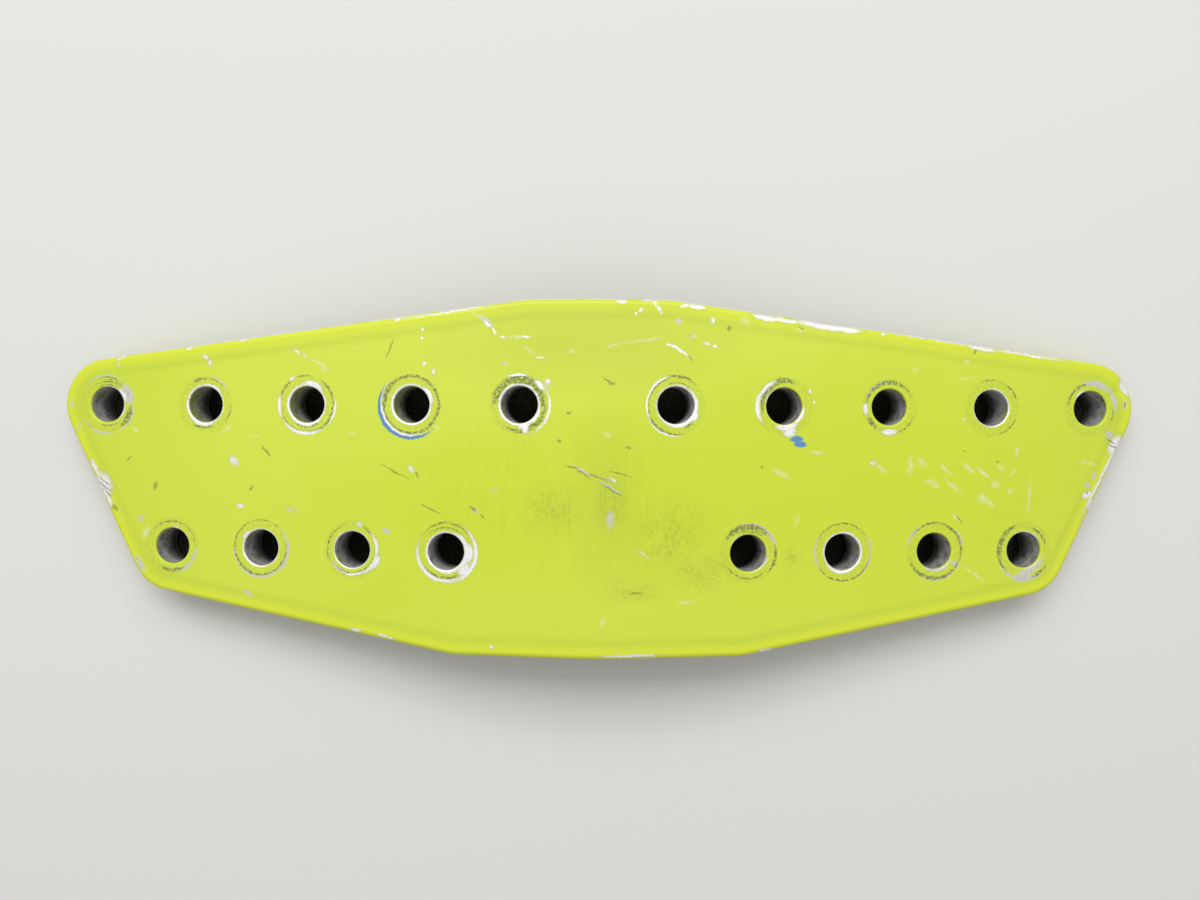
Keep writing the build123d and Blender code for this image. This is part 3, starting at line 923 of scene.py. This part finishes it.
# painted shade: the wall goes near black with depth, partly grease and partly the shade deep in
# the hole
grease_and_depth_shade = add("MapRange", wall_depth, 2.5, 9.0, 0.0, 0.9, **SMOOTH)
colour = linear("#A3A1A4")
for strength, paint in (
    # the near-black wall colour is grease and painted shade deep in the hole
    (reamed, "#E2E0E4"), (stains, "#5A584E"), (grease_and_depth_shade, "#24241F"), (spray, "#A3B23C"),
):
    colour = add("Mix", strength, at={6: colour, 7: linear(paint)}, **COLOURS)
tree.links.new(colour, wall_shader.inputs["Base Color"])
wall_shader.inputs["Metallic"].default_value = 0.35
wall_shader.inputs["Roughness"].default_value = 0.5
print(wall_metal.name, "has", len(tree.nodes), "nodes")

# %% [markdown]
# ## The floor
# The plate lies on plain pale paper. The camera and the metal see it paler than
# the light does, so that it doesn't throw its own light up at the plate. Where the
# plate covers it, an ambient occlusion node paints shade on the paper, taking it
# down to near black, because the bolt holes are black wells in the photograph. It
# needs a few samples of its own, or its noise would let light through.

# %% Floor paper
COVERED_REACH = 80 * MM
floor_paper, tree, floor_shader = new_material("matt_pale_paper")
rays = add("LightPath").node.outputs
seen = add("Math", rays["Is Camera Ray"], rays["Is Glossy Ray"], operation="MAXIMUM")
seen = add("Math", seen, rays["Is Transmission Ray"], operation="MAXIMUM")
paper = add("Mix", seen, at={6: linear("#8C8B89"), 7: linear("#DEDDDA")}, **COLOURS)
open_air = add("AmbientOcclusion", at={"Distance": COVERED_REACH}, output=1, samples=8)
open_air = add("MapRange", open_air, 0.25, 0.45, 0.0, 1.0, **SMOOTH)
# painted shade: the paper goes near black where the plate covers it
paper = add("Mix", open_air, at={6: linear("#2E2E2A"), 7: paper}, **COLOURS)
tree.links.new(paper, floor_shader.inputs["Base Color"])
floor_shader.inputs["Roughness"].default_value = 0.85
floor_shader.inputs["Specular IOR Level"].default_value = 0.0
print(floor_paper.name, "has", len(tree.nodes), "nodes")

# %% Lay the floor
FLOOR_REACH = 4  # m
floor_shape = bmesh.new()
bmesh.ops.create_grid(floor_shape, x_segments=1, y_segments=1, size=FLOOR_REACH)
floor_mesh = bpy.data.meshes.new("floor")
floor_shape.to_mesh(floor_mesh)
floor_shape.free()
floor_mesh.materials.append(floor_paper)
floor = bpy.data.objects.new("floor", floor_mesh)
bpy.context.scene.collection.objects.link(floor)
print("floor reaches", FLOOR_REACH, "m each way")

# %% [markdown]
# ## The plate as an object
# The bmesh becomes a mesh with its two materials, in place and unturned. The
# rounded rim meets broad flat faces, and plain smooth shading would bend the
# light on them. A Weighted Normal modifier lets the large faces set the normals,
# so that the flats look flat and only the rounds look round.

# %% Make it an object
plate_mesh = bpy.data.meshes.new("plate")
wing.to_mesh(plate_mesh)
wing.free()
for material in (primer, wall_metal):
    plate_mesh.materials.append(material)
plate = bpy.data.objects.new("plate", plate_mesh)
bpy.context.scene.collection.objects.link(plate)
weighted = plate.modifiers.new("flat faces stay flat", "WEIGHTED_NORMAL")
weighted.weight = 100
weighted.keep_sharp = True
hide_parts("attachment_plate")
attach(plate, "root")
print("plate:", len(plate_mesh.polygons), "faces,", len(plate_mesh.materials), "materials")

# %% [markdown]
# ## Soft light
# The photograph has the even light of a room, with a window somewhere above. A
# world that is brighter overhead than at its horizon gives that, and one large
# lamp beyond the upper edge of the plate adds the soft shadow below it. What the
# camera and the metal see of the world is an even pale grey.

# %% Light it
SKY_LOW, SKY_HIGH, SKY_SEEN = 0.22, 0.72, 0.75
KEY_SIZE = (1.2, 0.6)  # m
KEY_POWER = 9.5  # W
KEY_PLACE, KEY_TILT = (-0.1, 0.7, 0.9), radians(-38)
world = bpy.data.worlds.new("soft_room")
world.use_nodes = True
tree = world.node_tree
bpy.context.scene.world = world
rays = add("LightPath").node.outputs
seen = add("Math", rays["Is Camera Ray"], rays["Is Glossy Ray"], operation="MAXIMUM")
seen = add("Math", seen, rays["Is Transmission Ray"], operation="MAXIMUM")
sky_up = add("SeparateXYZ", add("TexCoord", output=0)).node.outputs["Z"]
sky = add("MapRange", sky_up, 0.0, 1.0, SKY_LOW, SKY_HIGH)
sky = add("Mix", seen, at={2: sky, 3: SKY_SEEN}, data_type="FLOAT")
background = tree.nodes["Background"]
tree.links.new(sky, background.inputs["Strength"])
background.inputs["Color"].default_value = (1, 1, 1, 1)

key_data = bpy.data.lights.new("key", "AREA")
key_data.shape = "RECTANGLE"
key_data.size, key_data.size_y = KEY_SIZE
key_data.energy = KEY_POWER
key = bpy.data.objects.new("key", key_data)
bpy.context.scene.collection.objects.link(key)
key.matrix_world = Matrix.Translation(KEY_PLACE) @ Matrix.Rotation(KEY_TILT, 4, "X")
bpy.context.scene.view_settings.view_transform = "Standard"
print("key lamp", KEY_POWER, "W, world", SKY_LOW, "to", SKY_HIGH)
